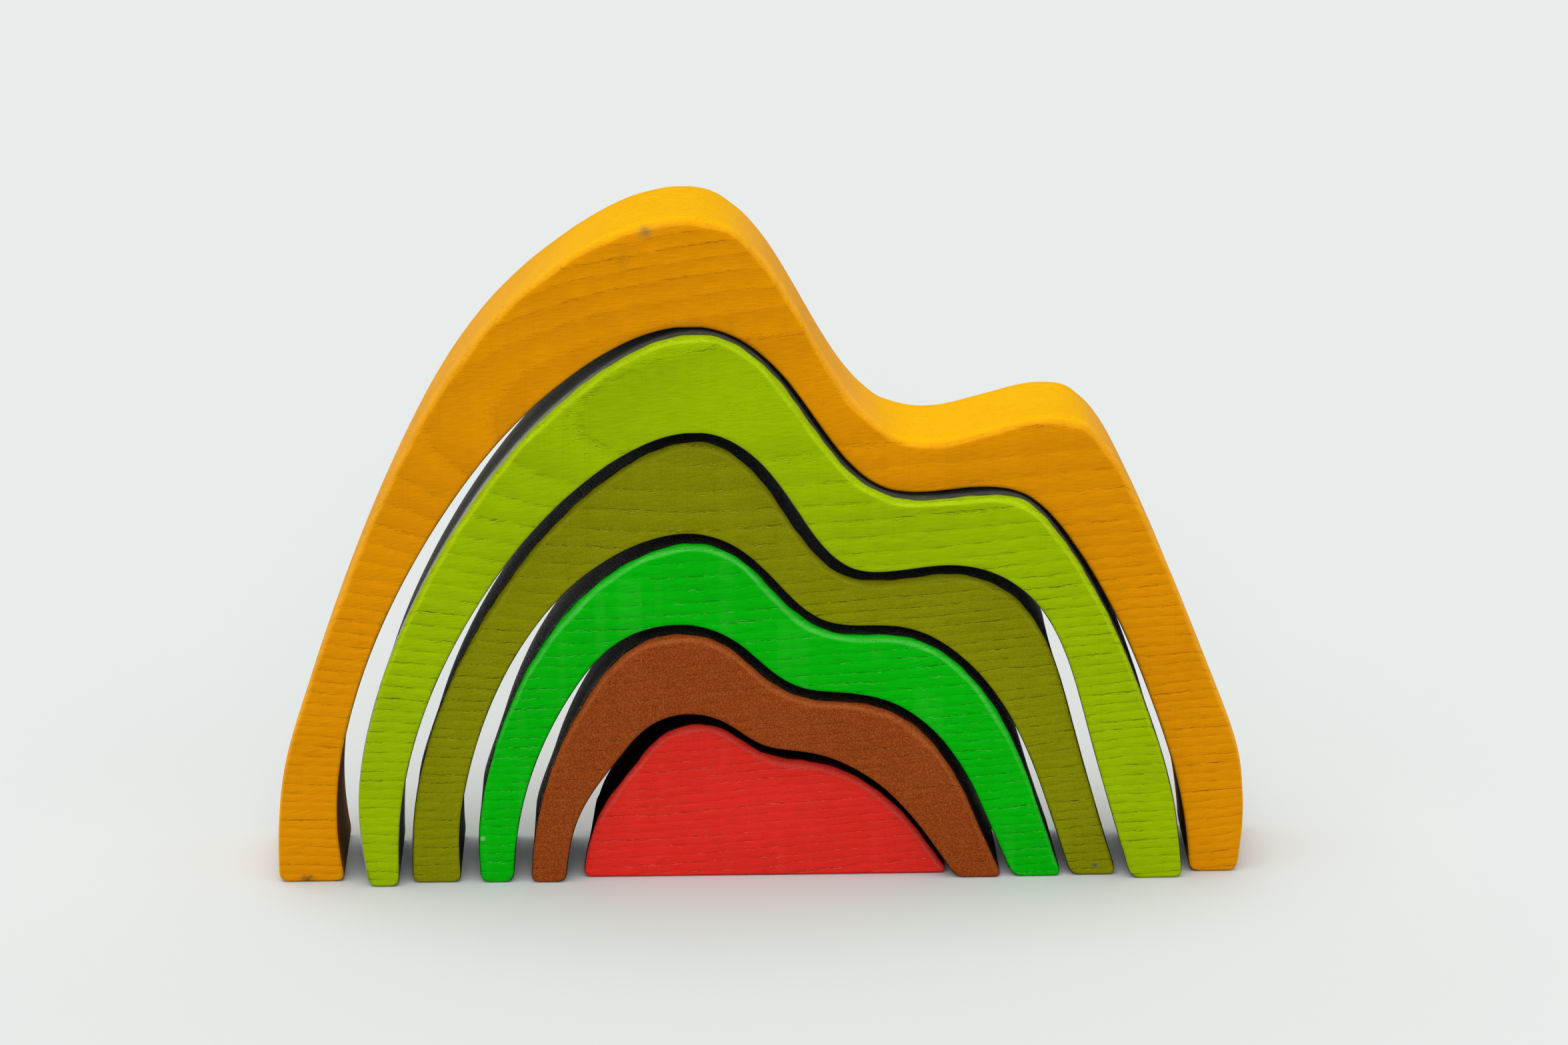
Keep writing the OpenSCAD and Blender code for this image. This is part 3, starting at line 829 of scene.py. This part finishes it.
def stained_wood(name, finish, gloss, groups, grain, stains):
    """Stained open-grain wood with scorched sawn sides; gloss is its specular level.

    Blotches, rings and fibres darken the stain; pores, painted highlights on the pores' lower lips and
    on rims that face up, and marks of use cover it; and burnt wood, drawn blacker as painted shade
    where a sawn side faces up or right, covers all of these on the sawn sides.
    """
    material = bpy.data.materials.new(name)
    material.use_nodes = True
    w = Wiring(material.node_tree)
    shader = material.node_tree.nodes["Principled BSDF"]
    shader.inputs["Specular IOR Level"].default_value = gloss

    rings = w.group(groups["growth_rings"], ring_width=grain.ring_width, pith_depth=grain.pith_depth,
                    pith_height=grain.pith_height, pith_place=grain.pith_place,
                    pith_bow=grain.pith_bow, pith_rise=grain.pith_rise).outputs
    pores = w.group(groups["open_pores"], length=grain.pore_length, width=grain.pore_width,
                    crowding=rings["Crowding"], bend=rings["Bend"]).outputs
    saw = w.group(groups["saw_marks"], scorch=w.attribute("scorch")).outputs
    sanded = w.group(groups["sanding"]).outputs

    stain = (*getattr(stains, finish.stain), 1)
    side = w.attribute("sanded")
    if finish.outer_scorch < 1:
        # Painted light on the orange arch's sanded side: its stain turns yellower where it faces up
        # into the light from above and paler, as a painted sheen, where it stands steep
        slope = w.ramp(w.attribute("upward"), 0.55, 0.95)
        painted_highlight = w.shade("MIX", slope, (*stains.flank_stain_and_sheen, 1), (*stains.crest_stain_and_top_light, 1))
        stain = w.shade("MIX", side, stain, painted_highlight)
    plain = w.ramp(side, 0, 1, 1, 0.4)

    def darken(colour, share, tone):
        """The colour multiplied by a tone, less on the sanded side."""
        return w.shade("MULTIPLY", w.math("MULTIPLY", share, plain), colour, tone)

    def cover(colour, share, strength, tone):
        """The colour covered by a tone, where the share times its strength is high."""
        return w.shade("MIX", w.math("MULTIPLY", share, strength), colour, tone)

    blotch = w.ramp(sanded["Blotch"], 0.35, 0.7, 0, 0.22)
    colour = w.shade("MULTIPLY", blotch, stain, BLOTCH_TONE)
    colour = darken(colour, w.math("MULTIPLY", rings["Tone"], 0.24), RING_TONE)
    colour = darken(colour, w.ramp(pores["Fibre"], 0.38, 0.66, 0, 0.34), FIBRE_TONE)
    line = w.math("MULTIPLY", rings["Line"], w.ramp(pores["Fibre"], 0.36, 0.58, 0.25, 1))
    colour = darken(colour, w.math("MULTIPLY", line, finish.lines), LINE_TONE)
    colour = cover(colour, w.math("MULTIPLY", pores["Pore"], plain), finish.pores, finish.pore_tone)
    # Painted highlight on the lower lip of each pore
    colour = cover(colour, pores["Lip"], finish.lips, finish.lip_tone)
    colour = cover(colour, sanded["Specks"], finish.specks, finish.lip_tone)
    colour = cover(colour, sanded["Bands"], BAND_SHARE, finish.lip_tone)
    # Painted highlight: rims that face up are covered with the pale tone
    rim_highlight = w.math("MULTIPLY", w.attribute("painted_highlight"), w.ramp(sanded["Specks"], 0, 0.7, 0.5, 1))
    colour = cover(colour, rim_highlight, finish.rims, finish.lip_tone)
    ticks = w.math("MULTIPLY", sanded["Ticks"], plain)
    colour = cover(colour, ticks, TICK_SHARE, finish.pore_tone)
    for mark in finish.marks:
        shape = w.group(groups["use_mark"], centre=mark.centre, size=mark.size).outputs["Mark"]
        colour = cover(colour, shape, mark.strength, mark.tone)
    burnt = w.shade("MIX", saw["Streak"], finish.burnt_tone, finish.streak_tone)
    # The near-black tone covers burnt wood by its char and by the painted shade on sides that face up
    # or right
    charred_and_shaded = w.math("MULTIPLY", w.attribute("char_and_painted_shade"), CHAR_AND_SHADE_SHARE)
    burnt = w.shade("MIX", charred_and_shaded, burnt, CHAR_AND_SHADE_TONE)
    colour = w.shade("MIX", saw["Burn"], colour, burnt)
    w.fill(shader.inputs["Base Color"], colour)

    unburnt = w.math("SUBTRACT", 1.0, saw["Burn"])
    shine = w.math("MULTIPLY", rings["Tone"], unburnt)
    w.fill(shader.inputs["Roughness"], w.ramp(shine, 0, 1, 0.66, 0.56))

    relief = w.math("MULTIPLY_ADD", line, -0.5, w.math("MULTIPLY", pores["Pore"], -1))
    relief = w.math("MULTIPLY_ADD", pores["Fibre"], 0.2, relief)
    scored = w.math("MULTIPLY", saw["Streak"], saw["Burn"])
    relief = w.math("MULTIPLY_ADD", scored, 0.8, w.math("MULTIPLY", relief, unburnt))
    bump = w.add("ShaderNodeBump")
    bump.inputs["Strength"].default_value = RELIEF_STRENGTH
    bump.inputs["Distance"].default_value = grain.pore_depth
    w.fill(bump.inputs["Height"], relief)
    w.fill(shader.inputs["Normal"], bump.outputs["Normal"])
    return material


FINISHES = {
    "orange_arch": Finish(
        "orange", (140, 78, 0), (238, 172, 30), lips=0.3, lines=0.9, rims=0.5,
        outer_scorch=0.0, inner_scorch=0.9,
        burnt_tone=(116, 78, 30), streak_tone=(188, 140, 72), side_gloss=0.005,
        marks=(
            Mark((-0.0336, -0.018, 0.2098), (0.0032, 0.004, 0.0030), (100, 100, 60), 0.6),
            Mark((-0.0405, -0.018, 0.2010), (0.0028, 0.004, 0.0075), (150, 108, 14), 0.3),
            Mark((-0.142, -0.018, 0.0010), (0.0036, 0.004, 0.0024), (96, 70, 30), 0.8),
        )),
    "lime_arch": Finish(
        "lime", (78, 96, 0), (190, 212, 30), pores=0.7, lips=0.55, lines=1.7, specks=0.08, rims=0.6,
        # The lime arch's sawn sides take pale grey tones, partly painted light for the light that falls
        # on them through the open gaps
        burnt_tone=(142, 144, 134), streak_tone=(228, 228, 220), side_gloss=0.2,
        marks=(Mark((-0.1240, -0.023, 0.0036), (0.0030, 0.004, 0.0045), (74, 84, 14), 0.75),)),
    "olive_arch": Finish(
        "olive", (66, 64, 0), (180, 178, 40), pores=0.75, lips=0.6, lines=1.7, specks=0.18,
        marks=(Mark((0.1045, -0.02, 0.0034), (0.0016, 0.003, 0.0011), (78, 80, 60), 0.9),)),
    "green_arch": Finish(
        "green", (3, 104, 10), (120, 216, 112), lips=0.5, rims=0.5, side_gloss=0.05,
        marks=(Mark((-0.0868, -0.0205, 0.0150), (0.0011, 0.003, 0.0010), (150, 170, 120), 0.9),)),
    "brown_arch": Finish(
        "brown", (92, 38, 10), (196, 114, 62), pores=0.6, specks=0.42),
    "red_core": Finish(
        "red", (160, 22, 18), (236, 116, 100), lips=0.5, lines=0.9, specks=0.06,
        # The red core's sawn sides take darker streaks, partly painted shade where they lie under the
        # brown arch around it
        burnt_tone=(18, 14, 13), streak_tone=(46, 38, 36), side_gloss=0.0),
}


def shared_groups():
    """The node groups that every block's wood uses, made once."""
    makers = {"growth_rings": ring_group, "open_pores": pore_group, "saw_marks": saw_group,
              "sanding": sanding_group, "use_mark": mark_group}
    return {name: bpy.data.node_groups.get(name) or make() for name, make in makers.items()}


class BlockBuilder:
    """Builds the block that stands for one node of the frame."""

    bl_options = {"REGISTER", "UNDO"}
    node = ""

    def execute(self, context):
        """Makes the mesh and its two materials, and puts the block in its node's place."""
        scene = context.scene
        finish = FINISHES[self.node]
        points, triangles, sides, values = sawn_block(
            self.node, scene.mountain_block, finish.outer_scorch, finish.inner_scorch)
        block = mesh_object(self.node + "_block", points, triangles, sides, **values)
        for label, gloss in (("_face", FACE_GLOSS), ("_side", finish.side_gloss)):
            block.data.materials.append(stained_wood(
                self.node + label, finish, gloss, shared_groups(), scene.mountain_grain,
                scene.mountain_stain))
        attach(block, self.node)
        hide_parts(self.node)
        return {"FINISHED"}


class MOUNTAIN_OT_orange_arch(BlockBuilder, bpy.types.Operator):
    """Add the outer arch, with its outside sanded smooth"""

    bl_idname = "mountain.orange_arch"
    bl_label = "Orange arch"
    node = "orange_arch"


class MOUNTAIN_OT_lime_arch(BlockBuilder, bpy.types.Operator):
    """Add the second arch"""

    bl_idname = "mountain.lime_arch"
    bl_label = "Lime arch"
    node = "lime_arch"


class MOUNTAIN_OT_olive_arch(BlockBuilder, bpy.types.Operator):
    """Add the third arch"""

    bl_idname = "mountain.olive_arch"
    bl_label = "Olive arch"
    node = "olive_arch"


class MOUNTAIN_OT_green_arch(BlockBuilder, bpy.types.Operator):
    """Add the fourth arch"""

    bl_idname = "mountain.green_arch"
    bl_label = "Green arch"
    node = "green_arch"


class MOUNTAIN_OT_brown_arch(BlockBuilder, bpy.types.Operator):
    """Add the fifth arch"""

    bl_idname = "mountain.brown_arch"
    bl_label = "Brown arch"
    node = "brown_arch"


class MOUNTAIN_OT_red_core(BlockBuilder, bpy.types.Operator):
    """Add the solid core"""

    bl_idname = "mountain.red_core"
    bl_label = "Red core"
    node = "red_core"


def floor_plane(colour):
    """A wide pale floor just under the feet."""
    reach = 6.0
    drop = 0.00005
    corners = np.array([[-reach, -reach], [reach, -reach], [reach, reach], [-reach, reach]])
    points = np.column_stack([corners, np.full(4, -drop)])
    floor = mesh_object("floor", points, np.array([[0, 1, 2], [0, 2, 3]]))
    material = bpy.data.materials.new("pale_floor")
    material.use_nodes = True
    shader = material.node_tree.nodes["Principled BSDF"]
    shader.inputs["Base Color"].default_value = (*colour, 1)
    shader.inputs["Roughness"].default_value = 0.9
    shader.inputs["Specular IOR Level"].default_value = 0.0
    floor.data.materials.append(material)


def pale_world(backdrop, strength):
    """Even light from all round; the camera and reflections see the backdrop's colour."""
    world = bpy.data.worlds.new("pale_room")
    world.use_nodes = True
    bpy.context.scene.world = world
    w = Wiring(world.node_tree)
    light = world.node_tree.nodes["Background"]
    light.inputs["Color"].default_value = SKY_TONE
    light.inputs["Strength"].default_value = strength
    seen = w.add("ShaderNodeBackground", (*backdrop, 1), 1.0)
    path = w.add("ShaderNodeLightPath").outputs
    looked_at = w.math("MAXIMUM", path["Is Camera Ray"], path["Is Glossy Ray"])
    mixed = w.add("ShaderNodeMixShader", looked_at, light.outputs[0], seen.outputs[0])
    w.fill(world.node_tree.nodes["World Output"].inputs["Surface"], mixed.outputs[0])


def soft_light(name, strength, spread, tilt, turn=0.0):
    """A wide light from far above, tilted towards the front and turned towards the left."""
    lamp = bpy.data.lights.new(name, "SUN")
    lamp.energy = strength
    lamp.angle = spread
    made = bpy.data.objects.new(name, lamp)
    made.rotation_euler = (tilt, -turn, 0)
    bpy.context.scene.collection.objects.link(made)


def front_camera(stage):
    """The camera, placed by its angles about the point it looks at and then rolled."""
    turn, rise, roll = stage.azimuth, stage.elevation, stage.roll
    reach = math.cos(rise)
    back = Vector((math.sin(turn) * reach, -math.cos(turn) * reach, math.sin(rise)))
    level = Vector((math.cos(turn), math.sin(turn), 0))
    upright = back.cross(level)
    right = math.cos(roll) * level + math.sin(roll) * upright
    up = math.cos(roll) * upright - math.sin(roll) * level
    lens = bpy.data.cameras.new("front_camera")
    lens.sensor_width = SENSOR_MM
    lens.lens = SENSOR_MM * FOCAL_PIXELS / PICTURE_WIDTH
    camera = bpy.data.objects.new("front_camera", lens)
    axes = Matrix((right, up, back)).transposed()
    place = Vector(stage.aim) + back * stage.distance
    camera.matrix_world = Matrix.Translation(place) @ axes.to_4x4()
    bpy.context.scene.collection.objects.link(camera)
    bpy.context.scene.camera = camera


class MOUNTAIN_OT_stage(bpy.types.Operator):
    """Add the pale floor, the soft light and the camera"""

    bl_idname = "mountain.stage"
    bl_label = "Stage"
    bl_options = {"REGISTER", "UNDO"}

    def execute(self, context):
        """Makes the floor, the world, both lights and the camera."""
        stage = context.scene.mountain_stage
        context.scene.view_settings.view_transform = "Standard"
        floor_plane(stage.floor)
        pale_world(stage.backdrop, stage.sky)
        soft_light("overhead", stage.sun, stage.sun_spread, stage.sun_tilt, stage.sun_turn)
        soft_light("front_fill", stage.fill, stage.fill_spread, math.pi / 2 - stage.fill_height)
        front_camera(stage)
        return {"FINISHED"}


BLOCKS = (
    MOUNTAIN_OT_orange_arch,
    MOUNTAIN_OT_lime_arch,
    MOUNTAIN_OT_olive_arch,
    MOUNTAIN_OT_green_arch,
    MOUNTAIN_OT_brown_arch,
    MOUNTAIN_OT_red_core,
)
SETTINGS = {
    "mountain_block": BlockSettings,
    "mountain_grain": GrainSettings,
    "mountain_stain": StainSettings,
    "mountain_stage": StageSettings,
}


class MOUNTAIN_PT_sidebar(bpy.types.Panel):
    """Lists the settings and the operators"""

    bl_idname = "MOUNTAIN_PT_sidebar"
    bl_label = "Mountain stacking block"
    bl_space_type = "VIEW_3D"
    bl_region_type = "UI"
    bl_category = "Mountain"

    def draw(self, context):
        """Draws one box for each group of settings, and a button for each operator."""
        for label, kind in SETTINGS.items():
            box = self.layout.box()
            group = getattr(context.scene, label)
            for setting in kind.__annotations__:
                box.prop(group, setting)
        for operator in (*BLOCKS, MOUNTAIN_OT_stage):
            self.layout.operator(operator.bl_idname)


CLASSES = (*SETTINGS.values(), *BLOCKS, MOUNTAIN_OT_stage, MOUNTAIN_PT_sidebar)


def register():
    """Registers the classes and puts the settings on the scene."""
    for kind in CLASSES:
        bpy.utils.register_class(kind)
    for label, kind in SETTINGS.items():
        setattr(bpy.types.Scene, label, PointerProperty(type=kind))


def unregister():
    """Takes the settings off the scene and unregisters the classes."""
    for label in SETTINGS:
        delattr(bpy.types.Scene, label)
    for kind in reversed(CLASSES):
        bpy.utils.unregister_class(kind)


def main():
    """Registers the add-on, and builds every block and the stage."""
    register()
    for operator in (*BLOCKS, MOUNTAIN_OT_stage):
        getattr(bpy.ops.mountain, operator.bl_idname.partition(".")[2])()


if __name__ == "__main__":
    main()
